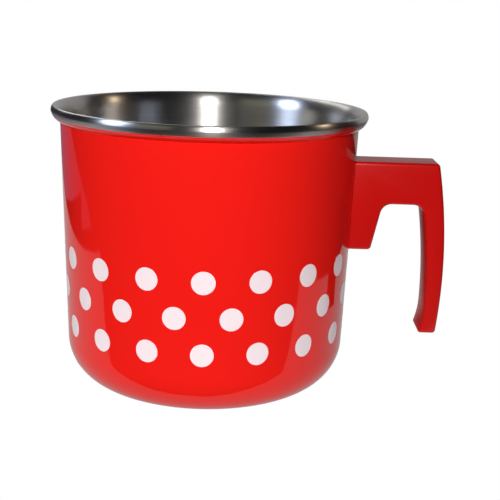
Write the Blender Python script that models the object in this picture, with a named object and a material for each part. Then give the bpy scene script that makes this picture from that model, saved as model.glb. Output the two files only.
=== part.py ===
"""Melting pot with a pouring rim and a hook handle.

A deep-drawn stainless steel vessel carries a red coat outside. A phenolic hook
handle sits on the wall. Inside the handle a pressed steel bracket, welded to the
wall, reaches into a pocket, and one screw from below clamps the handle to it.

Metres, +Z up. The origin is the centre of the base, on the surface that the pot
stands on, and the handle points along +X.
"""

import math

import bmesh
import bpy
from mathutils import Vector

# ---------------------------------------------------------------- pot
POT_HEIGHT = 0.1365          # standing face to the crest of the rim
BODY_RADIUS = 0.0700         # outside of the coat at WAIST_HEIGHT
WAIST_HEIGHT = 0.0600
WALL_TAPER = 0.031           # radius gained for each metre of height
CORNER_RADIUS = 0.0227       # outside of the coat, wall to base
SHEET = 0.0010               # steel sheet
COAT = 0.00035               # thickness that stands for the coat
GAP = 0.0003                 # between pieces that touch
STANDING_INSET = 0.0016      # edge of the flat steel face, in from the corner's start
STANDING_STEP = 0.0006       # slope at the edge of that face
COAT_START_ANGLE = math.radians(5.0)   # where the coat ends under the corner

# ---------------------------------------------------------------- rim
RIM_OVERHANG = 0.0044        # how far the rim stands out from the wall
RIM_HEIGHT = 0.0077          # from the top of the wall to the crest
BEAD_HALF_WIDTH = 0.0012     # crest of the rolled edge to its outermost point
BEAD_HALF_HEIGHT = 0.0026
RIM_SWELL = 0.0008           # how full the underside is between wall and bead
BARE_STEEL_HEIGHT = 0.0049   # bare steel above the coat's upper edge

# ---------------------------------------------------------------- handle
HANDLE_WIDTH = 0.0200        # across, along Y
HANDLE_TOP_BELOW_CREST = 0.0232
BEAM_DEPTH = 0.0206          # the arm, top to underside
BLOCK_HEIGHT = 0.0436        # the foot on the wall, top to bottom
BLOCK_LENGTH = 0.0101        # the foot's lower edge, out from the wall
BLOCK_RAKE = 0.0050          # how much further out the foot is under the arm
HANDLE_REACH = 0.0472        # from the wall at WAIST_HEIGHT to the outermost point
HANDLE_DROP = 0.0856         # top of the arm to the tip of the grip
GRIP_THICKNESS = 0.0082      # outermost point to the deepest point of the inner face
GRIP_BOW_RADIUS = 0.2700     # the grip is bowed outwards
GRIP_BOW_DEPTH = 0.0538      # top of the arm to the outermost point
GRIP_HOLLOW_DEPTH = 0.0673   # top of the arm to the deepest point of the inner face
ARCH_RADIUS = 0.0055         # inner corners under the arm
TOE = 0.0019                 # how far the tip turns in
TOE_LENGTH = 0.0130
EDGE_ROUND = 0.0015

# ---------------------------------------------------------------- fixing
SCREW_DIAMETER = 0.0040
SCREW_HEAD_DIAMETER = 0.0078
SCREW_HEAD_HEIGHT = 0.0026
SCREW_TIP = 0.0010           # taper at the end of the screw
RECESS_SPAN = 0.0043         # cross recess, across
RECESS_WIDTH = 0.0010
RECESS_DEPTH = 0.0016
HEAD_RECESS = 0.0004         # head below the underside of the arm
SPRING_WASHER_THICKNESS = 0.0010
FLAT_WASHER_THICKNESS = 0.0008
WASHER_RIM = 0.0023          # width of the flat washer's ring
SPRING_RIM = 0.0016          # width of the spring washer's ring
SPRING_SPLIT = 0.0007        # cut in the spring washer
WEB_THICKNESS = 0.0032       # handle material that the screw clamps
NUT_ACROSS_FLATS = 0.0070
NUT_HEIGHT = 0.0032
BRACKET_SHEET = 0.0015
BRACKET_WIDTH = 0.0120
BRACKET_FOOT_HEIGHT = 0.0260
BRACKET_BEND_RADIUS = 0.0025
SCREW_FROM_WALL = 0.0245     # wall at the bracket to the screw's axis
TONGUE_PAST_SCREW = 0.0060
SCREW_PAST_NUT = 0.0005
POCKET_CLEARANCE = 0.0004

ROUND_STEPS = 64             # facets round the pot
SMALL_STEPS = 24             # facets round the fixings
CORNER_STEPS = 6


# ---------------------------------------------------------------- helpers
def clear_scene():
    for item in list(bpy.data.objects):
        bpy.data.objects.remove(item, do_unlink=True)


def make_material(name, colour, metallic, roughness):
    material = bpy.data.materials.new(name)
    material.use_nodes = True
    shader = material.node_tree.nodes["Principled BSDF"]
    shader.inputs["Base Color"].default_value = (*colour, 1.0)
    shader.inputs["Metallic"].default_value = metallic
    shader.inputs["Roughness"].default_value = roughness
    return material


def add_object(name, mesh_data, material):
    """Puts a finished bmesh in the scene under a name."""
    bmesh.ops.recalc_face_normals(mesh_data, faces=mesh_data.faces)
    mesh = bpy.data.meshes.new(name)
    mesh_data.to_mesh(mesh)
    mesh_data.free()
    item = bpy.data.objects.new(name, mesh)
    bpy.context.scene.collection.objects.link(item)
    if material:
        mesh.materials.append(material)
        mesh.shade_smooth()
        mesh.set_sharp_from_angle(angle=math.radians(35))
    return item


def turned(profile, steps, ring=False):
    """Turns (radius, height) points about Z. A ring's profile closes on itself."""
    shape = bmesh.new()
    points = [shape.verts.new((radius, 0.0, height)) for radius, height in profile]
    following = points[1:] + points[:1] if ring else points[1:]
    lines = [shape.edges.new(pair) for pair in zip(points, following)]
    bmesh.ops.spin(shape, geom=points + lines, cent=(0, 0, 0), axis=(0, 0, 1),
                   angle=2 * math.pi, steps=steps, use_merge=True)
    bmesh.ops.remove_doubles(shape, verts=shape.verts, dist=1e-6)
    return shape


def extruded(outline, width):
    """Extrudes (x, z) points along Y, half the width each way."""
    shape = bmesh.new()
    points = [shape.verts.new((x, -width / 2, z)) for x, z in outline]
    face = shape.faces.new(points)
    grown = bmesh.ops.extrude_face_region(shape, geom=[face])["geom"]
    moved = [part for part in grown if isinstance(part, bmesh.types.BMVert)]
    bmesh.ops.translate(shape, verts=moved, vec=(0, width, 0))
    return shape


def arc(centre, radius, start, end, steps, stretch=1.0):
    """Points on an arc, angles counted from outwards towards up, stretched in height."""
    turns = [start + (end - start) * step / steps for step in range(steps + 1)]
    return [(centre[0] + radius * math.cos(turn),
             centre[1] + radius * stretch * math.sin(turn)) for turn in turns]


def rounded(before, corner, after, radius, steps):
    """Rounds one corner of an outline."""
    corner = Vector(corner)
    to_before = (Vector(before) - corner).normalized()
    to_after = (Vector(after) - corner).normalized()
    half = to_before.angle(to_after) / 2
    along = radius / math.tan(half)
    centre = corner + (to_before + to_after).normalized() * (radius / math.sin(half))
    first = corner + to_before * along - centre
    last = corner + to_after * along - centre
    points = []
    for step in range(steps + 1):
        mixed = first.normalized().slerp(last.normalized(), step / steps)
        points.append(tuple(centre + mixed * radius))
    return points


def hidden_cutter(name, shape):
    item = add_object(name, shape, None)
    item.hide_render = True
    item.display_type = "WIRE"
    return item


def cut(item, cutter):
    boolean = item.modifiers.new(cutter.name, "BOOLEAN")
    boolean.operation = "DIFFERENCE"
    boolean.solver = "EXACT"
    boolean.object = cutter


def box_shape(low, high):
    """A box between two corners."""
    outline = [(low[0], low[2]), (high[0], low[2]), (high[0], high[2]), (low[0], high[2])]
    shape = extruded(outline, high[1] - low[1])
    bmesh.ops.translate(shape, verts=shape.verts, vec=(0, (high[1] + low[1]) / 2, 0))
    return shape


def on_screw_axis(shape):
    """Moves a shape turned about Z out to the screw's axis."""
    bmesh.ops.translate(shape, verts=shape.verts, vec=(screw_x, 0, 0))
    return shape


def screw_hole(low, high):
    """A cutter for the screw's clearance hole, longer than the sheet that it cuts."""
    spare = high - low
    profile = [(0.0, low - spare), (hole_radius, low - spare),
               (hole_radius, high + spare), (0.0, high + spare)]
    return on_screw_axis(turned(profile, SMALL_STEPS))


# ---------------------------------------------------------------- places worked out
def coat_radius(height):
    """Outside of the coat on the straight wall."""
    return BODY_RADIUS + WALL_TAPER * (height - WAIST_HEIGHT)


def foot_face(height):
    """The bracket's face on the steel wall, which leans with the wall."""
    return coat_radius(height) - COAT


steel_inset = COAT + GAP
wall_top = POT_HEIGHT - RIM_HEIGHT
corner_centre = (coat_radius(CORNER_RADIUS) - CORNER_RADIUS, CORNER_RADIUS)
handle_top = POT_HEIGHT - HANDLE_TOP_BELOW_CREST
arm_underside = handle_top - BEAM_DEPTH
block_bottom = handle_top - BLOCK_HEIGHT
grip_tip = handle_top - HANDLE_DROP
outermost = coat_radius(WAIST_HEIGHT) + HANDLE_REACH

# The screw's stack, from the underside of the arm upwards.
head_low = arm_underside + HEAD_RECESS
head_high = head_low + SCREW_HEAD_HEIGHT
spring_low = head_high + GAP
flat_low = spring_low + SPRING_WASHER_THICKNESS + GAP
seat = flat_low + FLAT_WASHER_THICKNESS + GAP
pocket_floor = seat + WEB_THICKNESS
tongue_low = pocket_floor + GAP
nut_low = tongue_low + BRACKET_SHEET + GAP
nut_high = nut_low + NUT_HEIGHT
screw_end = nut_high + SCREW_PAST_NUT
pocket_top = screw_end + GAP
screw_x = coat_radius(tongue_low) + SCREW_FROM_WALL
tongue_end = screw_x + TONGUE_PAST_SCREW
hole_radius = SCREW_DIAMETER / 2 + GAP
washer_radius = hole_radius + WASHER_RIM
counterbore_radius = max(washer_radius, SCREW_HEAD_DIAMETER / 2) + GAP
foot_low = tongue_low + BRACKET_SHEET - BRACKET_FOOT_HEIGHT
bend_centre = (foot_face(tongue_low) + BRACKET_SHEET + BRACKET_BEND_RADIUS,
               tongue_low - BRACKET_BEND_RADIUS)


# ---------------------------------------------------------------- vessel and coat
def rim_underside():
    """Outside of the coat from the top of the wall up to the side of the bead."""
    wall = coat_radius(wall_top)
    climb = RIM_HEIGHT - BEAD_HALF_HEIGHT
    square = Vector((climb, -RIM_OVERHANG)).normalized()
    points = []
    for step in range(CORNER_STEPS + 1):
        share = step / CORNER_STEPS
        swell = square * (RIM_SWELL * math.sin(math.pi * share))
        points.append((wall + RIM_OVERHANG * share + swell.x,
                       wall_top + climb * share + swell.y))
    return points


def set_in(points, depth):
    """Moves an outline that climbs the outside into the metal by a depth, square to itself."""
    moved = []
    for place, (radius, height) in enumerate(points):
        before = Vector(points[max(place - 1, 0)])
        after = Vector(points[min(place + 1, len(points) - 1)])
        along = (after - before).normalized()
        moved.append((radius - along.y * depth, height + along.x * depth))
    return moved


def coated_outside():
    """Outside of the coat, from under the corner to its upper edge on the rim."""
    start = COAT_START_ANGLE - math.pi / 2
    edge = POT_HEIGHT - BARE_STEEL_HEIGHT
    climb = arc(corner_centre, CORNER_RADIUS, start, 0, CORNER_STEPS)
    return climb + [point for point in rim_underside() if point[1] < edge]


def rim_inside():
    """The flare inside the rim, from the crest down to the wall's inner face."""
    inner = coat_radius(wall_top) - steel_inset - SHEET
    crest = coat_radius(wall_top) + RIM_OVERHANG - BEAD_HALF_WIDTH
    points = []
    for step in range(1, CORNER_STEPS + 1):
        turn = math.pi / 2 * step / CORNER_STEPS
        points.append((crest + (inner - crest) * math.sin(turn),
                       POT_HEIGHT - RIM_HEIGHT * (1 - math.cos(turn))))
    return points


def add_pot_body(material):
    """The steel vessel: base, corner, wall and rolled rim, one sheet thick."""
    outer_corner = CORNER_RADIUS - steel_inset
    inner_corner = outer_corner - SHEET
    bead = (coat_radius(wall_top) + RIM_OVERHANG - BEAD_HALF_WIDTH,
            POT_HEIGHT - BEAD_HALF_HEIGHT)
    bare = [point for point in rim_underside() if point not in coated_outside()]
    standing_radius = corner_centre[0] - STANDING_INSET
    profile = [(0.0, 0.0), (standing_radius, 0.0)]
    profile.append((standing_radius + STANDING_STEP, steel_inset))
    profile += arc(corner_centre, outer_corner, -math.pi / 2, 0, CORNER_STEPS)[1:]
    profile += set_in(coated_outside(), steel_inset)[CORNER_STEPS + 1:]
    profile += bare[:-1]
    profile += arc(bead, BEAD_HALF_WIDTH, 0, math.pi / 2, CORNER_STEPS,
                   BEAD_HALF_HEIGHT / BEAD_HALF_WIDTH)
    profile += rim_inside()
    profile += arc(corner_centre, inner_corner, 0, -math.pi / 2, CORNER_STEPS)
    profile.append((0.0, corner_centre[1] - inner_corner))
    add_object("pot_body", turned(profile, ROUND_STEPS), material)


def add_red_coat(material):
    """The coat: a skin from under the corner up to the underside of the rim."""
    outside = coated_outside()
    profile = set_in(outside, COAT) + outside[::-1]
    item = add_object("red_coat", turned(profile, ROUND_STEPS, ring=True), material)
    half = BRACKET_WIDTH / 2 + GAP
    window = box_shape((0.0, -half, foot_low - GAP),
                       (coat_radius(POT_HEIGHT), half, tongue_low + BRACKET_SHEET + GAP))
    cut(item, hidden_cutter("coat_window_cutter", window))


# ---------------------------------------------------------------- handle
def grip_outside(height):
    below = handle_top - GRIP_BOW_DEPTH - height
    return outermost - below * below / (2 * GRIP_BOW_RADIUS)


def grip_inside(height):
    """The inner face of the grip: bowed like the outside, with the toe at the tip."""
    below = handle_top - GRIP_HOLLOW_DEPTH - height
    bow = below * below / (2 * GRIP_BOW_RADIUS)
    turned_in = max(0.0, 1 - (height - grip_tip) / TOE_LENGTH)
    return outermost - GRIP_THICKNESS - bow - TOE * turned_in * turned_in


def heights_between(start, end):
    return [start + (end - start) * step / CORNER_STEPS for step in range(CORNER_STEPS + 1)]


def handle_outline():
    """Side view of the handle as (x, z) points, round the outside from the wall."""
    within_wall = coat_radius(block_bottom) - CORNER_RADIUS
    outside = heights_between(handle_top, grip_tip)
    toe_top = grip_tip + TOE_LENGTH
    inside = heights_between(grip_tip, toe_top)[:-1]
    inside += heights_between(toe_top, arm_underside - ARCH_RADIUS)[:-1]
    outline = [(within_wall, handle_top)]
    outline += [(grip_outside(height), height) for height in outside]
    outline += [(grip_inside(height), height) for height in inside]
    arch_right = (grip_inside(arm_underside), arm_underside)
    foot = coat_radius(block_bottom) + BLOCK_LENGTH
    arch_left = (foot + BLOCK_RAKE, arm_underside)
    outline += rounded(outline[-1], arch_right, arch_left, ARCH_RADIUS, CORNER_STEPS)
    outline += rounded(arch_right, arch_left, (foot, block_bottom), ARCH_RADIUS,
                       CORNER_STEPS)
    outline += [(foot, block_bottom), (within_wall, block_bottom)]
    return outline


def add_handle(material):
    """The phenolic moulding, hollowed at the wall for the bracket."""
    item = add_object("handle", extruded(handle_outline(), HANDLE_WIDTH), material)
    edges = item.modifiers.new("edges", "BEVEL")
    edges.width = EDGE_ROUND
    edges.segments = 3
    edges.limit_method = "ANGLE"
    edges.angle_limit = math.radians(40)

    low = block_bottom - CORNER_RADIUS
    high = POT_HEIGHT + CORNER_RADIUS
    wall = [(0.0, low), (coat_radius(low) + GAP, low), (coat_radius(high) + GAP, high),
            (0.0, high)]
    cut(item, hidden_cutter("handle_seat_cutter", turned(wall, ROUND_STEPS)))

    slot = [(0.0, foot_low - POCKET_CLEARANCE),
            (foot_face(foot_low) + BRACKET_SHEET + POCKET_CLEARANCE,
             foot_low - POCKET_CLEARANCE),
            (bend_centre[0] - BRACKET_BEND_RADIUS + POCKET_CLEARANCE, bend_centre[1]),
            (bend_centre[0] + POCKET_CLEARANCE, pocket_floor),
            (tongue_end + POCKET_CLEARANCE, pocket_floor),
            (tongue_end + POCKET_CLEARANCE, pocket_top),
            (0.0, pocket_top)]
    pocket_width = BRACKET_WIDTH + 2 * POCKET_CLEARANCE
    cut(item, hidden_cutter("bracket_pocket_cutter", extruded(slot, pocket_width)))

    below = arm_underside - BEAM_DEPTH / 4
    into_pocket = pocket_floor + BRACKET_SHEET
    bore = [(0.0, below), (counterbore_radius, below), (counterbore_radius, seat),
            (hole_radius, seat), (hole_radius, into_pocket), (0.0, into_pocket)]
    cut(item, hidden_cutter("screw_bore_cutter", on_screw_axis(turned(bore, SMALL_STEPS))))


# ---------------------------------------------------------------- fixing pieces
def add_handle_bracket(material):
    """A strip of sheet: a foot on the wall, a bend, and a tongue into the handle."""
    top = tongue_low + BRACKET_SHEET
    outside = arc(bend_centre, BRACKET_BEND_RADIUS + BRACKET_SHEET, math.pi, math.pi / 2,
                  CORNER_STEPS)
    inside = arc(bend_centre, BRACKET_BEND_RADIUS, math.pi / 2, math.pi, CORNER_STEPS)
    outline = [(foot_face(foot_low), foot_low)] + outside
    outline += [(tongue_end, top), (tongue_end, tongue_low)] + inside
    outline += [(foot_face(foot_low) + BRACKET_SHEET, foot_low)]
    item = add_object("handle_bracket", extruded(outline, BRACKET_WIDTH), material)
    cut(item, hidden_cutter("tongue_hole_cutter", screw_hole(tongue_low, top)))


def add_weld_nut(material):
    """A hexagon nut welded on top of the tongue."""
    corner = NUT_ACROSS_FLATS / math.sqrt(3)
    shape = bmesh.new()
    bmesh.ops.create_cone(shape, cap_ends=True, segments=6, radius1=corner,
                          radius2=corner, depth=NUT_HEIGHT)
    bmesh.ops.translate(shape, verts=shape.verts, vec=(0, 0, nut_low + NUT_HEIGHT / 2))
    item = add_object("weld_nut", on_screw_axis(shape), material)
    cut(item, hidden_cutter("nut_bore_cutter", screw_hole(nut_low, nut_high)))


def add_handle_screw(material):
    """A pan head screw, driven from below, with a cross recess."""
    head = SCREW_HEAD_DIAMETER / 2
    shank = SCREW_DIAMETER / 2
    dome_centre = (0.0, head_low + SCREW_HEAD_HEIGHT / 2)
    profile = arc(dome_centre, head, -math.pi / 2, 0, CORNER_STEPS,
                  SCREW_HEAD_HEIGHT / SCREW_HEAD_DIAMETER)
    profile += [(head, head_high), (shank, head_high), (shank, screw_end - SCREW_TIP),
                (shank - SCREW_TIP / 2, screw_end), (0.0, screw_end)]
    item = add_object("handle_screw", on_screw_axis(turned(profile, SMALL_STEPS)),
                      material)
    for name, reach_x, reach_y in (("recess_x_cutter", RECESS_SPAN, RECESS_WIDTH),
                                   ("recess_y_cutter", RECESS_WIDTH, RECESS_SPAN)):
        cutter = box_shape((screw_x - reach_x / 2, -reach_y / 2, head_low - RECESS_DEPTH),
                           (screw_x + reach_x / 2, reach_y / 2, head_low + RECESS_DEPTH))
        cut(item, hidden_cutter(name, cutter))


def add_flat_washer(material):
    profile = [(hole_radius, flat_low), (washer_radius, flat_low),
               (washer_radius, flat_low + FLAT_WASHER_THICKNESS),
               (hole_radius, flat_low + FLAT_WASHER_THICKNESS)]
    shape = turned(profile, SMALL_STEPS, ring=True)
    add_object("flat_washer", on_screw_axis(shape), material)


def add_spring_washer(material):
    """A split ring of flat wire."""
    wide = hole_radius + SPRING_RIM
    high = spring_low + SPRING_WASHER_THICKNESS
    shape = turned([(hole_radius, spring_low), (wide, spring_low), (wide, high),
                    (hole_radius, high)], SMALL_STEPS, ring=True)
    item = add_object("spring_washer", on_screw_axis(shape), material)
    half = SPRING_SPLIT / 2
    split = box_shape((screw_x, -half, spring_low - half),
                      (screw_x + 2 * wide, half, high + half))
    cut(item, hidden_cutter("split_cutter", split))


# ---------------------------------------------------------------- build
clear_scene()

steel = make_material("stainless_steel", (0.56, 0.56, 0.55), 1.0, 0.28)
coat = make_material("red_lacquer", (0.80, 0.010, 0.008), 0.0, 0.12)
phenolic = make_material("red_phenolic", (0.55, 0.008, 0.008), 0.0, 0.38)
zinc = make_material("zinc_plated_steel", (0.62, 0.62, 0.60), 1.0, 0.35)

add_pot_body(steel)
add_red_coat(coat)
add_handle(phenolic)
add_handle_bracket(steel)
add_weld_nut(zinc)
add_handle_screw(zinc)
add_flat_washer(zinc)
add_spring_washer(zinc)
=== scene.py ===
"""Melting pot: a drawn steel vessel, a red coat with white dots, and a hook handle."""

import math

import bmesh
import bpy
from mathutils import Matrix, Vector


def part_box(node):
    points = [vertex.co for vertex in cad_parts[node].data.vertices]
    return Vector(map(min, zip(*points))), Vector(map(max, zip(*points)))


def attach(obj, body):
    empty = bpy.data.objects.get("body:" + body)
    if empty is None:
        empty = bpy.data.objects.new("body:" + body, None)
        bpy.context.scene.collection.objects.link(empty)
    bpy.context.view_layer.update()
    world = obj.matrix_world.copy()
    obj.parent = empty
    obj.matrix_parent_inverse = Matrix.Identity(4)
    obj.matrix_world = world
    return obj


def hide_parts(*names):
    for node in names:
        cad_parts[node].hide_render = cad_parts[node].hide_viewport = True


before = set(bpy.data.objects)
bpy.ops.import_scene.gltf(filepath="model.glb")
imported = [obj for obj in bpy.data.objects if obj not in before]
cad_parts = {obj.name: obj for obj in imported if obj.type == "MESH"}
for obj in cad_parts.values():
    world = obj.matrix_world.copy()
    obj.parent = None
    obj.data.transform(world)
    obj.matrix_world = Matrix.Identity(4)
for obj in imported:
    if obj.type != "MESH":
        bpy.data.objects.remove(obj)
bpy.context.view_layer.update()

# ---------------------------------------------------------------- steel vessel
# One disc of 1 mm stainless steel, deep drawn to a pot that widens a little upwards.
# Its edge is flared and rolled over as a pouring rim, and a turning pad has brushed it
# all round. The coat leaves the inside, the rim and the face that it stands on bare.
SHEET = 0.0010
WALL_TAPER = 0.031           # radius gained for each metre of height
CORNER_RADIUS = 0.0227       # outside of the coat, wall to base
RIM_OVERHANG = 0.0044        # how far the rim stands out from the wall
RIM_HEIGHT = 0.0077          # from the top of the wall to the crest
BEAD_HALF_WIDTH = 0.0012     # crest of the rolled edge to its outermost point
BEAD_HALF_HEIGHT = 0.0026
RIM_SWELL = 0.0008           # how full the underside is between wall and bead
BARE_STEEL_HEIGHT = 0.0049   # crest to the coat's upper edge
COAT = 0.00020               # the coat's thickness
COAT_SEAT = 0.00003          # air drawn between two finishes, so that they stay apart
STANDING_INSET = 0.0016      # edge of the standing face, in from the corner's start
STANDING_STEP = 0.0006
CORNER_STEPS = 20
ROUND_STEPS = 256            # facets round the pot
WELD_DISTANCE = 1e-6
SHARP_ANGLE = math.radians(40)
BRUSH_SPACING = 0.00045      # real lines are finer, and this is as fine as shows
BRUSH_RUN = 0.35             # how far round one brush line runs, in radii
BRUSH_ROUGHNESS = (0.28, 0.38)
BRUSH_GRAIN = 0.9            # how much rougher the steel is across the lines
ACROSS_THE_LINES = 0.25      # a quarter turn from the way round, so along the profile
STEEL = "#DDDAD6"
STEEL_DULL = "#B9B6B3"

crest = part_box("pot_body")[1].z
rim_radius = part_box("pot_body")[1].x
wall_top = crest - RIM_HEIGHT


def wall_radius(height):
    """Outside of the coat on the straight wall."""
    return rim_radius - RIM_OVERHANG + WALL_TAPER * (height - wall_top)


corner_centre = (wall_radius(CORNER_RADIUS) - CORNER_RADIUS, CORNER_RADIUS)


def arc(centre, radius, start, end, steps, stretch=1.0):
    """Points on an arc, angles counted from outwards towards up, stretched in height."""
    turns = [start + (end - start) * step / steps for step in range(steps + 1)]
    return [(centre[0] + radius * math.cos(turn),
             centre[1] + radius * stretch * math.sin(turn)) for turn in turns]


def rim_underside():
    """Outside of the coat from the top of the wall up to the side of the bead."""
    climb = RIM_HEIGHT - BEAD_HALF_HEIGHT
    square = Vector((climb, -RIM_OVERHANG)).normalized()
    points = []
    for step in range(CORNER_STEPS + 1):
        share = step / CORNER_STEPS
        swell = square * (RIM_SWELL * math.sin(math.pi * share))
        points.append((wall_radius(wall_top) + RIM_OVERHANG * share + swell.x,
                       wall_top + climb * share + swell.y))
    return points


def set_in(points, depth):
    """Moves an outline that climbs the outside into the metal by a depth, square to itself."""
    moved = []
    for place, (radius, height) in enumerate(points):
        before = Vector(points[max(place - 1, 0)])
        after = Vector(points[min(place + 1, len(points) - 1)])
        along = (after - before).normalized()
        moved.append((radius - along.y * depth, height + along.x * depth))
    return moved


def coated_outside(start):
    """Outside of the coat, from an angle under the corner to its upper edge."""
    climb = arc(corner_centre, CORNER_RADIUS, start - math.pi / 2, 0, CORNER_STEPS)
    edge = crest - BARE_STEEL_HEIGHT
    return climb + [point for point in rim_underside() if point[1] < edge]


def vessel_profile():
    """(radius, height) points from the middle of the base, round the rim, to the inside."""
    depth = COAT + COAT_SEAT
    standing = corner_centre[0] - STANDING_INSET
    outside = coated_outside(0.0)
    bare = [point for point in rim_underside() if point not in outside]
    bead = (rim_radius - BEAD_HALF_WIDTH, crest - BEAD_HALF_HEIGHT)
    inner_wall = wall_radius(wall_top) - depth - SHEET
    points = [(0.0, 0.0), (standing, 0.0), (standing + STANDING_STEP, depth)]
    points += set_in(outside, depth)[1:] + bare[:-1]
    points += arc(bead, BEAD_HALF_WIDTH, 0, math.pi / 2, CORNER_STEPS,
                  BEAD_HALF_HEIGHT / BEAD_HALF_WIDTH)
    for step in range(1, CORNER_STEPS + 1):
        turn = math.pi / 2 * step / CORNER_STEPS
        points.append((bead[0] + (inner_wall - bead[0]) * math.sin(turn),
                       crest - RIM_HEIGHT * (1 - math.cos(turn))))
    points += arc(corner_centre, CORNER_RADIUS - depth - SHEET, 0, -math.pi / 2,
                  CORNER_STEPS)
    points.append((0.0, corner_centre[1] - CORNER_RADIUS + depth + SHEET))
    return points


def linear(hex_colour):
    """An sRGB hex colour as linear red, green, blue and alpha."""
    shares = [int(hex_colour[place:place + 2], 16) / 255 for place in (1, 3, 5)]
    return tuple(share / 12.92 if share <= 0.04045 else ((share + 0.055) / 1.055) ** 2.4
                 for share in shares) + (1.0,)


def add_node(tree, kind, inputs=None, **settings):
    """Adds a node with its settings, and sets or links its inputs."""
    node = tree.nodes.new(kind)
    for name, value in settings.items():
        setattr(node, name, value)
    for name, value in (inputs or {}).items():
        if isinstance(value, bpy.types.NodeSocket):
            tree.links.new(value, node.inputs[name])
        else:
            node.inputs[name].default_value = value
    return node


def start_material(name):
    """A material with one Principled shader, and its tree."""
    material = bpy.data.materials.new(name)
    material.use_nodes = True
    material.node_tree.nodes.clear()
    shader = add_node(material.node_tree, "ShaderNodeBsdfPrincipled")
    add_node(material.node_tree, "ShaderNodeOutputMaterial",
             {"Surface": shader.outputs["BSDF"]})
    return material, material.node_tree, shader


def brushed_stainless_steel():
    """Stainless steel brushed round and round: the eye gets soft streaks that stand
    upright under each light, and fine darker and lighter lines that run round."""
    material, tree, shader = start_material("brushed_stainless_steel")
    place = add_node(tree, "ShaderNodeTexCoord").outputs["Object"]
    flat = add_node(tree, "ShaderNodeVectorMath",
                    {0: place, 1: (1.0, 1.0, 0.0)}, operation="MULTIPLY")
    round_way = add_node(tree, "ShaderNodeVectorMath", {0: flat.outputs["Vector"]},
                         operation="NORMALIZE")
    runs = add_node(tree, "ShaderNodeVectorMath",
                    {0: round_way.outputs["Vector"], "Scale": 1 / BRUSH_RUN},
                    operation="SCALE")
    along = add_node(tree, "ShaderNodeUVMap", uv_map="turn_and_length")
    length = add_node(tree, "ShaderNodeSeparateXYZ", {0: along.outputs["UV"]})
    lines = add_node(tree, "ShaderNodeMath",
                     {0: length.outputs["Y"], 1: 1 / BRUSH_SPACING}, operation="MULTIPLY")
    across = add_node(tree, "ShaderNodeCombineXYZ", {"Z": lines.outputs["Value"]})
    where = add_node(tree, "ShaderNodeVectorMath",
                     {0: runs.outputs["Vector"], 1: across.outputs["Vector"]},
                     operation="ADD")
    brush = add_node(tree, "ShaderNodeTexNoise",
                     {"Vector": where.outputs["Vector"], "Scale": 1.0, "Detail": 3.0,
                      "Roughness": 0.6})
    colour = add_node(tree, "ShaderNodeMixRGB",
                      {"Fac": brush.outputs["Fac"], "Color1": linear(STEEL_DULL),
                       "Color2": linear(STEEL)})
    tree.links.new(colour.outputs["Color"], shader.inputs["Base Color"])
    rough = add_node(tree, "ShaderNodeMapRange",
                     {"Value": brush.outputs["Fac"], "To Min": BRUSH_ROUGHNESS[0],
                      "To Max": BRUSH_ROUGHNESS[1]})
    tree.links.new(rough.outputs["Result"], shader.inputs["Roughness"])
    tangent = add_node(tree, "ShaderNodeTangent", direction_type="UV_MAP",
                       uv_map="turn_and_length")
    tree.links.new(tangent.outputs["Tangent"], shader.inputs["Tangent"])
    shader.inputs["Metallic"].default_value = 1.0
    shader.inputs["Anisotropic"].default_value = BRUSH_GRAIN
    shader.inputs["Anisotropic Rotation"].default_value = ACROSS_THE_LINES
    return material


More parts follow.
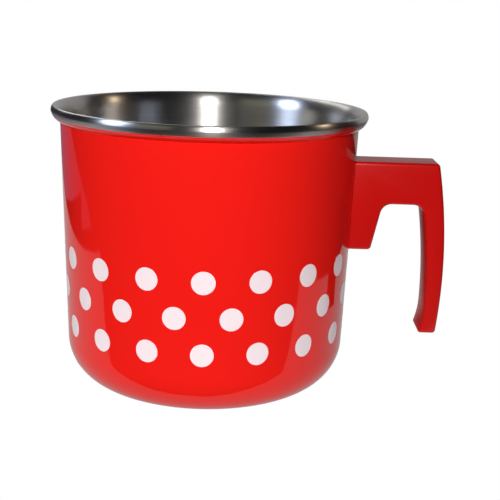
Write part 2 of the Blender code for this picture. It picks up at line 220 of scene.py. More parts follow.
def turning_tree():
    """Geometry Nodes that turn a profile about Z into a closed skin."""
    tree = bpy.data.node_groups.new("turned_profile", "GeometryNodeTree")
    tree.is_modifier = True
    for label, kind in (("Profile", "NodeSocketGeometry"), ("Steps Round", "NodeSocketInt"),
                        ("Weld Distance", "NodeSocketFloat"),
                        ("Finish", "NodeSocketMaterial")):
        tree.interface.new_socket(label, in_out="INPUT", socket_type=kind)
    tree.interface.new_socket("Skin", in_out="OUTPUT", socket_type="NodeSocketGeometry")
    given = add_node(tree, "NodeGroupInput").outputs
    count = add_node(tree, "GeometryNodeAttributeDomainSize",
                     {"Geometry": given["Profile"]}).outputs["Point Count"]
    columns = add_node(tree, "ShaderNodeMath", {0: given["Steps Round"], 1: 1.0},
                       operation="ADD")
    grid = add_node(tree, "GeometryNodeMeshGrid",
                    {"Vertices X": columns.outputs[0], "Vertices Y": count})
    index = add_node(tree, "GeometryNodeInputIndex").outputs["Index"]
    point = add_node(tree, "ShaderNodeMath", {0: index, 1: count},
                     operation="FLOORED_MODULO")
    share = add_node(tree, "ShaderNodeMath", {0: index, 1: count}, operation="DIVIDE")
    column = add_node(tree, "ShaderNodeMath", {0: share.outputs[0]}, operation="FLOOR")
    turn = add_node(tree, "ShaderNodeMath",
                    {0: column.outputs[0], 1: given["Steps Round"]}, operation="DIVIDE")
    angle = add_node(tree, "ShaderNodeMath", {0: turn.outputs[0], 1: 2 * math.pi},
                     operation="MULTIPLY")
    position = add_node(tree, "GeometryNodeInputPosition").outputs["Position"]
    place = add_node(tree, "GeometryNodeSampleIndex",
                     {"Geometry": given["Profile"], "Value": position,
                      "Index": point.outputs[0]},
                     data_type="FLOAT_VECTOR", domain="POINT")
    turned = add_node(tree, "ShaderNodeVectorRotate",
                      {"Vector": place.outputs["Value"], "Angle": angle.outputs[0]},
                      rotation_type="Z_AXIS")
    along = add_node(tree, "GeometryNodeInputNamedAttribute", {"Name": "length_along"},
                     data_type="FLOAT")
    length = add_node(tree, "GeometryNodeSampleIndex",
                      {"Geometry": given["Profile"], "Value": along.outputs["Attribute"],
                       "Index": point.outputs[0]}, data_type="FLOAT", domain="POINT")
    wrap = add_node(tree, "ShaderNodeCombineXYZ",
                    {"X": turn.outputs[0], "Y": length.outputs["Value"]})
    of_point = add_node(tree, "GeometryNodeFieldOnDomain",
                        {"Value": wrap.outputs["Vector"]},
                        data_type="FLOAT_VECTOR", domain="POINT")
    mapped = add_node(tree, "GeometryNodeStoreNamedAttribute",
                      {"Geometry": grid.outputs["Mesh"], "Name": "turn_and_length",
                       "Value": of_point.outputs["Value"]},
                      data_type="FLOAT2", domain="CORNER")
    moved = add_node(tree, "GeometryNodeSetPosition",
                     {"Geometry": mapped.outputs["Geometry"],
                      "Position": turned.outputs["Vector"]})
    welded = add_node(tree, "GeometryNodeMergeByDistance",
                      {"Geometry": moved.outputs["Geometry"],
                       "Distance": given["Weld Distance"]})
    real = add_node(tree, "GeometryNodeRealizeInstances",
                    {"Geometry": welded.outputs["Geometry"]})
    finished = add_node(tree, "GeometryNodeSetMaterial",
                        {"Geometry": real.outputs["Geometry"],
                         "Material": given["Finish"]})
    add_node(tree, "NodeGroupOutput", {"Skin": finished.outputs["Geometry"]})
    return tree


def grown(name, start, tree, inputs):
    """Runs a Geometry Nodes tree on a start mesh and returns its result as a plain mesh."""
    holder = bpy.data.objects.new(name + "_start", start)
    bpy.context.scene.collection.objects.link(holder)
    modifier = holder.modifiers.new("shape", "NODES")
    modifier.node_group = tree
    for item in tree.interface.items_tree:
        if item.in_out == "INPUT" and item.name in inputs:
            modifier[item.identifier] = inputs[item.name]
    shaped = holder.evaluated_get(bpy.context.evaluated_depsgraph_get())
    mesh = bpy.data.meshes.new_from_object(shaped)
    mesh.name = name
    bpy.data.objects.remove(holder, do_unlink=True)
    return mesh


def show(name, mesh, stands_for):
    """Puts a finished mesh in the scene as a piece that belongs to the pot."""
    mesh.shade_smooth()
    mesh.set_sharp_from_angle(angle=SHARP_ANGLE)
    piece = bpy.data.objects.new(name, mesh)
    bpy.context.scene.collection.objects.link(piece)
    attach(piece, "root")
    if stands_for:
        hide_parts(stands_for)


def turned_mesh(name, profile, steps, finish):
    """Turns (radius, height) points about Z. A ring's last point repeats its first."""
    start = bpy.data.meshes.new(name + "_profile")
    start.from_pydata([(radius, 0.0, height) for radius, height in profile],
                      [(place, place + 1) for place in range(len(profile) - 1)], [])
    lengths = [0.0]
    for before, after in zip(profile, profile[1:]):
        lengths.append(lengths[-1] + math.dist(before, after))
    start.attributes.new("length_along", "FLOAT", "POINT").data.foreach_set(
        "value", lengths)
    mesh = grown(name, start, turning, {"Steps Round": steps, "Finish": finish,
                                        "Weld Distance": WELD_DISTANCE})
    shape = bmesh.new()
    shape.from_mesh(mesh)
    bmesh.ops.recalc_face_normals(shape, faces=shape.faces)
    shape.to_mesh(mesh)
    shape.free()
    return mesh


turning = turning_tree()
steel = brushed_stainless_steel()
show("steel_vessel", turned_mesh("steel_vessel", vessel_profile(), ROUND_STEPS, steel),
     "pot_body")

# ---------------------------------------------------------------- red coat
# A stoved red lacquer sprayed on the outside of the vessel, from under the corner up to
# the underside of the rim. It is masked off where the handle's bracket is welded on.
COAT_START_ANGLE = math.radians(5.0)
EDGE_STEPS = 6
LACQUER_RED = "#F51E17"
LACQUER_ROUGHNESS = 0.06
LACQUER_IOR = 1.5
LACQUER_WAVE = 0.0040        # width of the flow waves in the lacquer
LACQUER_WAVE_HEIGHT = 0.0005
LACQUER_WAVE_SHARE = 0.02    # how much of that height the stoving leaves
MASK_MARGIN = 0.0003


def stoved_red_lacquer():
    """Sprayed and stoved lacquer: a deep even red under a clear wet gloss, whose faint
    waves bend what it reflects."""
    material, tree, shader = start_material("stoved_red_lacquer")
    shader.inputs["Base Color"].default_value = linear(LACQUER_RED)
    shader.inputs["Roughness"].default_value = LACQUER_ROUGHNESS
    shader.inputs["IOR"].default_value = LACQUER_IOR
    place = add_node(tree, "ShaderNodeTexCoord").outputs["Object"]
    wave = add_node(tree, "ShaderNodeTexNoise",
                    {"Vector": place, "Scale": 1 / LACQUER_WAVE, "Detail": 1.0})
    bump = add_node(tree, "ShaderNodeBump",
                    {"Height": wave.outputs["Fac"], "Strength": LACQUER_WAVE_SHARE,
                     "Distance": LACQUER_WAVE_HEIGHT})
    tree.links.new(bump.outputs["Normal"], shader.inputs["Normal"])
    return material


def coat_profile():
    """The coat's outline, with its upper edge rounded down to the steel."""
    outside = coated_outside(COAT_START_ANGLE)
    inside = set_in(outside, COAT)
    last_out, last_in = Vector(outside[-1]), Vector(inside[-1])
    middle = (last_out + last_in) / 2
    across = (last_out - last_in) / 2
    onwards = Vector((-across.y, across.x))
    edge = []
    for step in range(1, EDGE_STEPS):
        turn = math.pi * step / EDGE_STEPS
        edge.append(tuple(middle + across * math.cos(turn) + onwards * math.sin(turn)))
    return outside + edge + inside[::-1] + outside[:1]


def box_mesh(low, high):
    """A box between two corners."""
    mesh = bpy.data.meshes.new("box")
    shape = bmesh.new()
    bmesh.ops.create_cube(shape, size=1.0)
    span = Vector(high) - Vector(low)
    shape.transform(Matrix.Translation((Vector(high) + Vector(low)) / 2)
                    @ Matrix.Diagonal((*span, 1.0)))
    shape.to_mesh(mesh)
    shape.free()
    return mesh


def cut_away(mesh, cutters):
    """A mesh with solids cut out of it."""
    holder = bpy.data.objects.new("being_cut", mesh)
    bpy.context.scene.collection.objects.link(holder)
    tools = []
    for cutter in cutters:
        tool = bpy.data.objects.new("cutter", cutter)
        bpy.context.scene.collection.objects.link(tool)
        boolean = holder.modifiers.new("cut", "BOOLEAN")
        boolean.operation = "DIFFERENCE"
        boolean.solver = "EXACT"
        boolean.object = tool
        tools.append(tool)
    shaped = holder.evaluated_get(bpy.context.evaluated_depsgraph_get())
    result = bpy.data.meshes.new_from_object(shaped)
    for item in [holder] + tools:
        bpy.data.objects.remove(item, do_unlink=True)
    return result


bracket_low, bracket_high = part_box("handle_bracket")
mask = box_mesh((0.0, bracket_low.y - MASK_MARGIN, bracket_low.z - MASK_MARGIN),
                (crest, bracket_high.y + MASK_MARGIN, bracket_high.z + MASK_MARGIN))
lacquer = stoved_red_lacquer()
coat = cut_away(turned_mesh("red_coat", coat_profile(), ROUND_STEPS, lacquer), [mask])
coat.materials.clear()
coat.materials.append(lacquer)
show("red_lacquer_coat", coat, "red_coat")

# ---------------------------------------------------------------- dots
# Three rows of round white dots, pad printed on the lacquer before it is stoved. Each
# row is half a step round from the next, so that the dots sit in a quincunx.
DOT_DIAMETER = 0.0107
DOTS_ROUND = 17
DOT_ROWS = 3
LOWEST_ROW = 0.0330
ROW_PITCH = 0.0169
FIRST_DOT_ANGLE = 0.0153     # of the top and the bottom row, from the front to the handle
PRINT_THICKNESS = 0.00003
DOT_EDGE_STEPS = 64
DOT_RINGS = 6
PRINT_WHITE = "#FFEFF4"
PRINT_ROUGHNESS = 0.12


def white_pad_print():
    """Pad printing ink under stoved gloss: an even soft white, a little pink from the
    red beneath it."""
    material, _, shader = start_material("white_pad_print")
    shader.inputs["Base Color"].default_value = linear(PRINT_WHITE)
    shader.inputs["Roughness"].default_value = PRINT_ROUGHNESS
    shader.inputs["IOR"].default_value = LACQUER_IOR
    return material


def printing_tree():
    """Geometry Nodes that print rows of discs round the wall."""
    tree = bpy.data.node_groups.new("dots_round_the_wall", "GeometryNodeTree")
    tree.is_modifier = True
    for label, kind in (("Start", "NodeSocketGeometry"), ("Dots Round", "NodeSocketInt"),
                        ("Rows", "NodeSocketInt"), ("Dot Radius", "NodeSocketFloat"),
                        ("Thickness", "NodeSocketFloat"), ("Lowest Row", "NodeSocketFloat"),
                        ("Row Pitch", "NodeSocketFloat"),
                        ("First Angle", "NodeSocketFloat"),
                        ("Wall Radius", "NodeSocketFloat"),
                        ("Wall Height", "NodeSocketFloat"),
                        ("Taper", "NodeSocketFloat"), ("Finish", "NodeSocketMaterial")):
        tree.interface.new_socket(label, in_out="INPUT", socket_type=kind)
    tree.interface.new_socket("Dots", in_out="OUTPUT", socket_type="NodeSocketGeometry")
    given = add_node(tree, "NodeGroupInput").outputs
    known = {"Index": add_node(tree, "GeometryNodeInputIndex").outputs["Index"]}
    known.update((socket.name, socket) for socket in given)
    # Where each dot's middle lies on the wall laid out flat.
    for result, operation, one, other in (
            ("Count", "MULTIPLY", "Dots Round", "Rows"),
            ("Rows Passed", "DIVIDE", "Index", "Dots Round"),
            ("Row", "FLOOR", "Rows Passed", 0.0),
            ("Dot", "FLOORED_MODULO", "Index", "Dots Round"),
            ("Odd Row", "FLOORED_MODULO", "Row", 2.0),
            ("Shift", "MULTIPLY", "Odd Row", 0.5),
            ("Dots Passed", "SUBTRACT", "Dot", "Shift"),
            ("Turn", "DIVIDE", "Dots Passed", "Dots Round"),
            ("Turn Angle", "MULTIPLY", "Turn", 2 * math.pi),
            ("Angle", "ADD", "Turn Angle", "First Angle"),
            ("Row Rise", "MULTIPLY", "Row", "Row Pitch"),
            ("Height", "ADD", "Row Rise", "Lowest Row"),
            ("Length Round", "MULTIPLY", "Angle", "Wall Radius")):
        step = add_node(tree, "ShaderNodeMath",
                        {0: known.get(one, one), 1: known.get(other, other)},
                        operation=operation)
        known[result] = step.outputs["Value"]
    unrolled = add_node(tree, "ShaderNodeCombineXYZ",
                        {"X": known["Length Round"], "Z": known["Height"]})
    points = add_node(tree, "GeometryNodePoints",
                      {"Count": known["Count"], "Position": unrolled.outputs["Vector"]})
    disc = add_node(tree, "GeometryNodeMeshCylinder",
                    {"Vertices": DOT_EDGE_STEPS, "Side Segments": 1,
                     "Fill Segments": DOT_RINGS, "Radius": given["Dot Radius"],
                     "Depth": given["Thickness"]}, fill_type="NGON")
    laid = add_node(tree, "GeometryNodeInstanceOnPoints",
                    {"Points": points.outputs["Points"], "Instance": disc.outputs["Mesh"],
                     "Rotation": (math.pi / 2, 0.0, 0.0)})
    real = add_node(tree, "GeometryNodeRealizeInstances",
                    {"Geometry": laid.outputs["Instances"]})
    place = add_node(tree, "ShaderNodeSeparateXYZ",
                     {0: add_node(tree, "GeometryNodeInputPosition").outputs[0]})
    known.update((socket.name, socket) for socket in place.outputs)
    # The flat dots wrapped round the wall, which widens upwards.
    for result, operation, one, other in (
            ("Around", "DIVIDE", "X", "Wall Radius"),
            ("Rise", "SUBTRACT", "Z", "Wall Height"),
            ("Widening", "MULTIPLY", "Rise", "Taper"),
            ("Wall There", "ADD", "Widening", "Wall Radius"),
            ("Radius There", "SUBTRACT", "Wall There", "Y"),
            ("Cosine", "COSINE", "Around", 0.0),
            ("Forwards", "MULTIPLY", "Radius There", "Cosine"),
            ("Backwards", "MULTIPLY", "Forwards", -1.0),
            ("Sine", "SINE", "Around", 0.0),
            ("Sideways", "MULTIPLY", "Radius There", "Sine")):
        step = add_node(tree, "ShaderNodeMath",
                        {0: known.get(one, one), 1: known.get(other, other)},
                        operation=operation)
        known[result] = step.outputs["Value"]
    wrapped = add_node(tree, "ShaderNodeCombineXYZ",
                       {"X": known["Sideways"], "Y": known["Backwards"],
                        "Z": known["Z"]})
    moved = add_node(tree, "GeometryNodeSetPosition",
                     {"Geometry": real.outputs["Geometry"],
                      "Position": wrapped.outputs["Vector"]})
    solid = add_node(tree, "GeometryNodeRealizeInstances",
                     {"Geometry": moved.outputs["Geometry"]})
    finished = add_node(tree, "GeometryNodeSetMaterial",
                        {"Geometry": solid.outputs["Geometry"],
                         "Material": given["Finish"]})
    add_node(tree, "NodeGroupOutput", {"Dots": finished.outputs["Geometry"]})
    return tree


middle_row = LOWEST_ROW + ROW_PITCH
dots = grown("white_dots", bpy.data.meshes.new("dots_start"), printing_tree(),
             {"Dots Round": DOTS_ROUND, "Rows": DOT_ROWS,
              "Dot Radius": DOT_DIAMETER / 2, "Thickness": PRINT_THICKNESS,
              "Lowest Row": LOWEST_ROW, "Row Pitch": ROW_PITCH,
              "First Angle": FIRST_DOT_ANGLE,
              "Wall Radius": wall_radius(middle_row) + PRINT_THICKNESS,
              "Wall Height": middle_row, "Taper": WALL_TAPER,
              "Finish": white_pad_print()})
show("white_dots", dots, None)

# ---------------------------------------------------------------- handle
# A hook moulded in red phenolic: an arm from the wall, a foot that rests on the lacquer,
# and a bowed grip that turns in at its tip. One screw from below pulls it onto the
# bracket, which reaches into a pocket behind the foot.
BEAM_DEPTH = 0.0206          # the arm, top to underside
BLOCK_HEIGHT = 0.0436        # the foot on the wall, top to bottom
BLOCK_LENGTH = 0.0101        # the foot's lower edge, out from the wall
BLOCK_RAKE = 0.0050          # how much further out the foot is under the arm
GRIP_THICKNESS = 0.0082
GRIP_BOW_RADIUS = 0.2700
GRIP_BOW_DEPTH = 0.0538      # top of the arm to the outermost point
GRIP_HOLLOW_DEPTH = 0.0673   # top of the arm to the deepest point of the inner face
ARCH_RADIUS = 0.0055
TOE = 0.0019                 # how far the tip turns in
TOE_LENGTH = 0.0130
EDGE_ROUND = 0.0015
EDGE_SEGMENTS = 5
OUTLINE_STEPS = 24
SEAT_GAP = 0.00005           # air between the foot and the lacquer
WALL_REACH = 0.012           # how far the blank runs into the wall before it is cut
SCREW_RADIUS = 0.0020
HOLE_CLEARANCE = 0.0003
POCKET_CLEARANCE = 0.0004
BRACKET_SHEET = 0.0015
BRACKET_BEND_RADIUS = 0.0025
WEB_THICKNESS = 0.0032       # phenolic that the screw clamps
SMALL_STEPS = 48             # facets round the screw and its bore
PHENOLIC_RED = "#C80E0B"
PHENOLIC_ROUGHNESS = 0.25
PHENOLIC_IOR = 1.5
PEEL_WIDTH = 0.0007          # width of the dimples in the moulded skin
PEEL_DEPTH = 0.0002
PEEL_SHARE = 0.10            # how much of that depth the mould's polish leaves

handle_low, handle_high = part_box("handle")
arm_underside = handle_high.z - BEAM_DEPTH
block_bottom = handle_high.z - BLOCK_HEIGHT
foot = wall_radius(block_bottom) + BLOCK_LENGTH
screw_low, screw_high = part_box("handle_screw")
washer_low, washer_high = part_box("flat_washer")
screw_x = (screw_low.x + screw_high.x) / 2
seat_height = washer_high.z + HOLE_CLEARANCE
pocket_floor = seat_height + WEB_THICKNESS
counterbore = (washer_high.x - washer_low.x) / 2 + HOLE_CLEARANCE


def moulded_red_phenolic():
    """Phenolic pressed in a steel mould: an even deep red with a satin gloss, broken
    by a skin of small dimples."""
    material, tree, shader = start_material("moulded_red_phenolic")
    shader.inputs["Base Color"].default_value = linear(PHENOLIC_RED)
    shader.inputs["Roughness"].default_value = PHENOLIC_ROUGHNESS
    shader.inputs["IOR"].default_value = PHENOLIC_IOR
    place = add_node(tree, "ShaderNodeTexCoord").outputs["Object"]
    peel = add_node(tree, "ShaderNodeTexNoise",
                    {"Vector": place, "Scale": 1 / PEEL_WIDTH, "Detail": 2.0})
    bump = add_node(tree, "ShaderNodeBump",
                    {"Height": peel.outputs["Fac"], "Strength": PEEL_SHARE,
                     "Distance": PEEL_DEPTH})
    tree.links.new(bump.outputs["Normal"], shader.inputs["Normal"])
    return material


def grip_outside(height):
    """The outer face of the grip, bowed."""
    below = handle_high.z - GRIP_BOW_DEPTH - height
    return handle_high.x - below * below / (2 * GRIP_BOW_RADIUS)


def grip_inside(height):
    """The inner face of the grip: bowed like the outside, with the toe at the tip."""
    below = handle_high.z - GRIP_HOLLOW_DEPTH - height
    bow = below * below / (2 * GRIP_BOW_RADIUS)
    turned_in = max(0.0, 1 - (height - handle_low.z) / TOE_LENGTH)
    return handle_high.x - GRIP_THICKNESS - bow - TOE * turned_in * turned_in


def rounded(before, corner, after, radius, steps):
    """Rounds one corner of an outline."""
    corner = Vector(corner)
    to_before = (Vector(before) - corner).normalized()
    to_after = (Vector(after) - corner).normalized()
    half = to_before.angle(to_after) / 2
    along = radius / math.tan(half)
    centre = corner + (to_before + to_after).normalized() * (radius / math.sin(half))
    first = (corner + to_before * along - centre).normalized()
    last = (corner + to_after * along - centre).normalized()
    return [tuple(centre + first.slerp(last, step / steps) * radius)
            for step in range(steps + 1)]


def handle_outline():
    """Side view of the handle as (x, z) points, round the outside from the wall."""
    within_wall = wall_radius(block_bottom) - WALL_REACH
    arch_right = (grip_inside(arm_underside), arm_underside)
    arch_left = (foot + BLOCK_RAKE, arm_underside)
    outline = [(within_wall, handle_high.z)]
    for step in range(OUTLINE_STEPS + 1):
        height = handle_high.z + (handle_low.z - handle_high.z) * step / OUTLINE_STEPS
        outline.append((grip_outside(height), height))
    for step in range(OUTLINE_STEPS):
        span = arm_underside - ARCH_RADIUS - handle_low.z
        height = handle_low.z + span * step / OUTLINE_STEPS
        outline.append((grip_inside(height), height))
    outline += rounded(outline[-1], arch_right, arch_left, ARCH_RADIUS, EDGE_SEGMENTS * 2)
    outline += rounded(arch_right, arch_left, (foot, block_bottom), ARCH_RADIUS,
                       EDGE_SEGMENTS * 2)
    outline += [(foot, block_bottom), (within_wall, block_bottom)]
    return outline


def extruded(name, outline, low, high):
    """Extrudes (x, z) points along Y from low to high."""
    mesh = bpy.data.meshes.new(name)
    shape = bmesh.new()
    face = shape.faces.new([shape.verts.new((x, low, z)) for x, z in outline])
    far = bmesh.ops.extrude_face_region(shape, geom=[face])["geom"]
    moved = [part for part in far if isinstance(part, bmesh.types.BMVert)]
    bmesh.ops.translate(shape, verts=moved, vec=(0, high - low, 0))
    bmesh.ops.recalc_face_normals(shape, faces=shape.faces)
    shape.to_mesh(mesh)
    shape.free()
    return mesh


def edges_rounded(mesh, width, segments):
    """A mesh with its sharp edges rounded."""
    shape = bmesh.new()
    shape.from_mesh(mesh)
    sharp = [edge for edge in shape.edges
             if edge.calc_face_angle(0.0) > SHARP_ANGLE]
    bmesh.ops.bevel(shape, geom=sharp, offset=width, offset_type="OFFSET",
                    segments=segments, profile=0.5, affect="EDGES")
    shape.to_mesh(mesh)
    shape.free()
    return mesh


def on_screw_axis(mesh):
    """Moves a mesh turned about Z onto the screw's axis."""
    mesh.transform(Matrix.Translation((screw_x, 0.0, 0.0)))
    return mesh


def handle_cutters():
    """The seat on the wall, the pocket for the bracket, and the screw's bore."""
    low, high = block_bottom - CORNER_RADIUS, crest + CORNER_RADIUS
    seat = [(0.0, low), (wall_radius(low) + SEAT_GAP, low),
            (wall_radius(high) + SEAT_GAP, high), (0.0, high)]
    bend = bracket_low.x + BRACKET_SHEET + BRACKET_BEND_RADIUS
    pocket_bottom = bracket_low.z - POCKET_CLEARANCE
    pocket_end = bracket_high.x + POCKET_CLEARANCE
    pocket_top = screw_high.z + HOLE_CLEARANCE
    inner = bracket_low.x + BRACKET_SHEET + 2 * POCKET_CLEARANCE
    pocket = [(0.0, pocket_bottom), (inner, pocket_bottom),
              (inner, pocket_floor - BRACKET_BEND_RADIUS),
              (bend + POCKET_CLEARANCE, pocket_floor), (pocket_end, pocket_floor),
              (pocket_end, pocket_top), (0.0, pocket_top)]
    below = arm_underside - BEAM_DEPTH / 4
    hole = SCREW_RADIUS + HOLE_CLEARANCE
    bore = [(0.0, below), (counterbore, below), (counterbore, seat_height),
            (hole, seat_height), (hole, pocket_floor + BRACKET_SHEET),
            (0.0, pocket_floor + BRACKET_SHEET)]
    return [turned_mesh("seat_cutter", seat, ROUND_STEPS, None),
            extruded("pocket_cutter", pocket, bracket_low.y - POCKET_CLEARANCE,
                     bracket_high.y + POCKET_CLEARANCE),
            on_screw_axis(turned_mesh("bore_cutter", bore, SMALL_STEPS, None))]


blank = extruded("hook_handle", handle_outline(), handle_low.y, handle_high.y)
handle = cut_away(edges_rounded(blank, EDGE_ROUND, EDGE_SEGMENTS), handle_cutters())
handle.materials.clear()
handle.materials.append(moulded_red_phenolic())
show("hook_handle", handle, "handle")

# ---------------------------------------------------------------- screw
# An M4 pan head screw with a cross recess, zinc plated. It goes up through both washers,
# the handle and the bracket's tongue, and turns into the weld nut.
ZINC = "#C9CED4"
ZINC_ROUGHNESS = (0.22, 0.38)
CLOUD_WIDTH = 0.0010         # width of the clouds in the plating
RECESS_SPAN = 0.0043         # cross recess, across
RECESS_WIDTH = 0.0010
RECESS_DEPTH = 0.0016
THREAD_PITCH = 0.0007
THREAD_DEPTH = 0.00035


def bright_zinc_plate():
    """Zinc plated and blue passivated steel: a cool, slightly cloudy silver."""
    material, tree, shader = start_material("bright_zinc_plate")
    shader.inputs["Metallic"].default_value = 1.0
    shader.inputs["Base Color"].default_value = linear(ZINC)
    place = add_node(tree, "ShaderNodeTexCoord").outputs["Object"]
    cloud = add_node(tree, "ShaderNodeTexNoise",
                     {"Vector": place, "Scale": 1 / CLOUD_WIDTH, "Detail": 2.0})
    rough = add_node(tree, "ShaderNodeMapRange",
                     {"Value": cloud.outputs["Fac"], "To Min": ZINC_ROUGHNESS[0],
                      "To Max": ZINC_ROUGHNESS[1]})
    tree.links.new(rough.outputs["Result"], shader.inputs["Roughness"])
    return material


def screw_profile():
    """A pan head, a shank with the thread's ridges, and a cut end."""
    head = (screw_high.x - screw_low.x) / 2
    head_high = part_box("spring_washer")[0].z - HOLE_CLEARANCE
    height = head_high - screw_low.z
    points = arc((0.0, screw_low.z + height / 2), head, -math.pi / 2, 0, EDGE_SEGMENTS * 2,
                 height / 2 / head)
    points += [(head, head_high), (SCREW_RADIUS, head_high)]
    core = SCREW_RADIUS - THREAD_DEPTH
    ridge = head_high + THREAD_PITCH
    while ridge + THREAD_PITCH < screw_high.z:
        points += [(SCREW_RADIUS, ridge), (core, ridge + THREAD_PITCH / 2)]
        ridge += THREAD_PITCH
    return points + [(core, screw_high.z), (0.0, screw_high.z)]


zinc = bright_zinc_plate()
recess = [box_mesh((screw_x - across / 2, -along / 2, screw_low.z - RECESS_DEPTH),
                   (screw_x + across / 2, along / 2, screw_low.z + RECESS_DEPTH))
          for across, along in ((RECESS_SPAN, RECESS_WIDTH), (RECESS_WIDTH, RECESS_SPAN))]
screw = cut_away(on_screw_axis(turned_mesh("pan_head_screw", screw_profile(), SMALL_STEPS,
                                           zinc)), recess)
screw.materials.clear()
screw.materials.append(zinc)
show("pan_head_screw", screw, "handle_screw")

# ---------------------------------------------------------------- bracket, nut, washers
# A pressed stainless bracket, welded to the wall by its foot, whose tongue reaches into
# the handle. A zinc plated hexagon nut is welded on the tongue, and a spring washer and
# a flat washer sit under the screw's head.
ROLLED_ROUGHNESS = (0.35, 0.45)


def plain_pressed_steel():
    """Pressed stainless sheet, as rolled: a plain satin grey."""
    material, tree, shader = start_material("plain_pressed_steel")
    shader.inputs["Metallic"].default_value = 1.0
    shader.inputs["Base Color"].default_value = linear(STEEL)
    place = add_node(tree, "ShaderNodeTexCoord").outputs["Object"]
    grain = add_node(tree, "ShaderNodeTexNoise",
                     {"Vector": place, "Scale": 1 / BRACKET_SHEET, "Detail": 2.0})
    rough = add_node(tree, "ShaderNodeMapRange",
                     {"Value": grain.outputs["Fac"], "To Min": ROLLED_ROUGHNESS[0],
                      "To Max": ROLLED_ROUGHNESS[1]})
    tree.links.new(rough.outputs["Result"], shader.inputs["Roughness"])
    return material


for node, slot_name, finish in (("handle_bracket", "stainless_steel", plain_pressed_steel()),
                                ("weld_nut", "zinc_plated_steel", zinc),
                                ("flat_washer", "zinc_plated_steel", zinc),
                                ("spring_washer", "zinc_plated_steel", zinc)):
    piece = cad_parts[node]
    piece.data.materials.clear()
    piece.data.materials.append(finish)

# ---------------------------------------------------------------- studio
# A white table and backdrop that only the camera sees. What the gloss mirrors is apart
# from them: a sheet of paper under the pot, a dim table to its left, a pale wall
# behind, a dim room in front, and the lamps.
TABLE_HALF = 3.0
TABLE_TOP = -0.0002          # a hair under the pot, so that the two never share a plane
DOME_RADIUS = 6.0
DOME_SEGMENTS = 48
WALL_PLACE = 0.70            # behind the pot, and where the paper ends
WALL_HEIGHT = 0.70
FAR_EDGE = 0.88              # where the dim table ends
UNDER_PLACE = -0.25
UNDER_HALF = 0.14
ROOM_LOW = 0.2
ROOM_HIGH = 1.2
WHITE = "#FFFFFF"
ROOM_GLOW = (0.01, 0.01, 0.012, 1.0)


def glow(name, hex_colour, strength):
    """A plain glowing surface, for what is only reflected."""
    material = bpy.data.materials.new(name)
    material.use_nodes = True
    material.node_tree.nodes.clear()
    light = add_node(material.node_tree, "ShaderNodeEmission",
                     {"Color": linear(hex_colour), "Strength": strength})
    add_node(material.node_tree, "ShaderNodeOutputMaterial",
             {"Surface": light.outputs["Emission"]})
    return material


def seen_from_above(name):
    """Plain white that is clear from beneath, so that the underside can be looked at."""
    material = glow(name, WHITE, 1.0)
    tree = material.node_tree
    white = tree.nodes["Emission"].outputs["Emission"]
    clear = add_node(tree, "ShaderNodeBsdfTransparent").outputs["BSDF"]
    side = add_node(tree, "ShaderNodeNewGeometry").outputs["Backfacing"]
    shown = add_node(tree, "ShaderNodeMixShader", {0: side, 1: white, 2: clear})
    tree.links.new(shown.outputs["Shader"], tree.nodes["Material Output"].inputs["Surface"])
    return material


def stage_piece(name, mesh, finish, camera=False, glossy=False, diffuse=False):
    """Puts a mesh on the stage, for the kinds of ray that may meet it."""
    mesh.materials.append(finish)
    item = bpy.data.objects.new(name, mesh)
    bpy.context.scene.collection.objects.link(item)
    item.visible_camera = camera
    item.visible_glossy = glossy
    item.visible_diffuse = diffuse
    item.visible_transmission = False
    item.visible_shadow = False


def one_face(name, corners):
    """A mesh of one flat face."""
    mesh = bpy.data.meshes.new(name)
    mesh.from_pydata(corners, [], [tuple(range(len(corners)))])
    return mesh


def panel(name, corners, finish, glossy=True, diffuse=False):
    """A flat glowing panel that the camera doesn't see."""
    stage_piece(name, one_face(name, corners), finish, glossy=glossy, diffuse=diffuse)


def level(height, points):
    """(x, y) points as corners at one height."""
    return [(x, y, height) for x, y in points]


def rectangle(x_span, y_span):
    """The four (x, y) points of a rectangle."""
    return [(x_span[0], y_span[0]), (x_span[1], y_span[0]),
            (x_span[1], y_span[1]), (x_span[0], y_span[1])]


def upright(first, last, low, high):
    """A standing rectangle over the line between two (x, y) points."""
    return [(*first, low), (*last, low), (*last, high), (*first, high)]


table_span = (-TABLE_HALF, TABLE_HALF)
under_span = (-UNDER_HALF, UNDER_HALF)
table = one_face("table", level(TABLE_TOP, rectangle(table_span, table_span)))
stage_piece("white_table", table, seen_from_above("white_table"), camera=True)

dome_shape = bmesh.new()
bmesh.ops.create_uvsphere(dome_shape, u_segments=DOME_SEGMENTS,
                          v_segments=DOME_SEGMENTS // 2, radius=DOME_RADIUS)
bmesh.ops.reverse_faces(dome_shape, faces=dome_shape.faces)
dome = bpy.data.meshes.new("backdrop")
dome_shape.to_mesh(dome)
dome_shape.free()
stage_piece("white_backdrop", dome, glow("white_backdrop", WHITE, 1.0), camera=True)

# The sheet leaves out the part just behind the pot, so that it doesn't light up the
# handle's inner face.
paper = glow("paper_sheet", WHITE, 0.5)
left_half = [(-0.303, -0.049), (0.08, -0.075), (0.08, 0), (-0.07, 0), (-0.07, WALL_PLACE),
             (-0.290, WALL_PLACE)]
right_half = [(0.08, -0.075), (0.250, -0.085), (0.258, WALL_PLACE), (0.08, WALL_PLACE),
              (0.08, 0.16), (0.04, 0.06), (0.04, 0), (0.08, 0)]
beyond = [(-0.30, 0.36), (-0.47, 0.14), (-0.35, 0.09), (-0.37, 0.01), (-0.45, 0.07),
          (-0.52, 0.16), (-0.62, 0.31), (-0.74, 0.53), (-0.76, FAR_EDGE),
          (-0.30, FAR_EDGE)]
panel("paper_sheet_left", level(TABLE_TOP, left_half), paper)
panel("paper_sheet_right", level(TABLE_TOP, right_half), paper)
panel("dim_table", level(0, beyond), glow("dim_table", "#E0D6FF", 0.22))
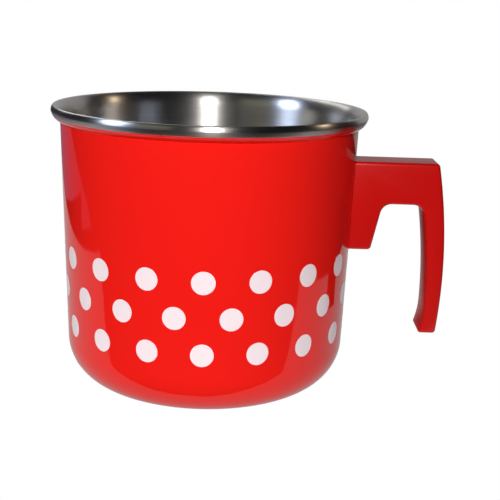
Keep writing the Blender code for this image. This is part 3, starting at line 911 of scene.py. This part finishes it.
panel("beneath", level(UNDER_PLACE, rectangle(under_span, under_span)),
      glow("beneath", WHITE, 0.5))
panel("table_bounce", level(0, rectangle((-0.22, 0.22), (-0.16, 0.16))),
      glow("table_bounce", WHITE, 0.56), glossy=False, diffuse=True)
panel("pale_wall", upright((-0.3, WALL_PLACE), (0.9, WALL_PLACE), 0, WALL_HEIGHT),
      glow("pale_wall", WHITE, 0.35))
panel("dim_room", upright((-1.2, -0.9), (-0.6, -1.3), ROOM_LOW, ROOM_HIGH),
      glow("dim_room", "#F0F0D4", 0.35))


def soft_light(name, place, size, watts, hex_colour, diffuse=True, glossy=True):
    """A square or upright softbox turned to the middle of the pot."""
    lamp = bpy.data.lights.new(name, "AREA")
    lamp.shape = "RECTANGLE"
    lamp.size, lamp.size_y = size
    lamp.energy = watts
    lamp.color = linear(hex_colour)[:3]
    item = bpy.data.objects.new(name, lamp)
    item.location = place
    towards = Vector((0.0, 0.0, crest / 2)) - Vector(place)
    item.rotation_euler = towards.to_track_quat("-Z", "Y").to_euler()
    item.visible_diffuse = diffuse
    item.visible_glossy = glossy
    bpy.context.scene.collection.objects.link(item)


soft_light("key_light", (-0.02, -0.60, 0.30), (0.06, 0.06), 3.4, "#FFFBFA", glossy=False)
soft_light("flash", (0.035, -0.60, 0.30), (0.05, 0.05), 2.2, "#FFFDFA", diffuse=False)
soft_light("window_light", (-1.3, -0.45, 0.75), (0.4, 0.6), 11.0, "#CFE0FF",
           diffuse=False)
soft_light("warm_light", (1.4, 0.15, 0.9), (0.15, 0.15), 1.5, "#FFE2C0", diffuse=False)
soft_light("side_fill", (-0.9, 0.2, 0.35), (0.5, 0.5), 3.0, WHITE, glossy=False)
soft_light("back_light", (-0.6, 1.5, 1.2), (0.9, 0.9), 8.0, WHITE)

world = bpy.data.worlds.new("dim_room")
world.use_nodes = True
world.node_tree.nodes["Background"].inputs["Color"].default_value = ROOM_GLOW
bpy.context.scene.world = world
bpy.context.scene.view_settings.view_transform = "Standard"

# ---------------------------------------------------------------- camera
# Held about half a metre in front of the pot and a little above its rim, tipped down
# and rolled by a trifle, with a long lens.
CAMERA_PLACE = Vector((0.0184, -0.5232, 0.1934))
CAMERA_TURN = 0.0057         # from straight at the pot towards the handle
CAMERA_DIP = 0.2400
CAMERA_ROLL = 0.0331
FOCAL_LENGTH = 77.35         # millimetres, on a sensor 36 mm wide
SENSOR_WIDTH = 36.0
NEAREST_SEEN = 0.01

lens = bpy.data.cameras.new("camera")
lens.lens = FOCAL_LENGTH
lens.sensor_width = SENSOR_WIDTH
lens.clip_start = NEAREST_SEEN
forward = Vector((math.sin(CAMERA_TURN) * math.cos(CAMERA_DIP),
                  math.cos(CAMERA_TURN) * math.cos(CAMERA_DIP), -math.sin(CAMERA_DIP)))
sideways = Vector((math.cos(CAMERA_TURN), -math.sin(CAMERA_TURN), 0.0))
overhead = sideways.cross(forward)
right = sideways * math.cos(CAMERA_ROLL) + overhead * math.sin(CAMERA_ROLL)
up = overhead * math.cos(CAMERA_ROLL) - sideways * math.sin(CAMERA_ROLL)
camera = bpy.data.objects.new("camera", lens)
turned_frame = Matrix((right, up, -forward)).transposed().to_4x4()
camera.matrix_world = Matrix.Translation(CAMERA_PLACE) @ turned_frame
bpy.context.scene.collection.objects.link(camera)
bpy.context.scene.camera = camera
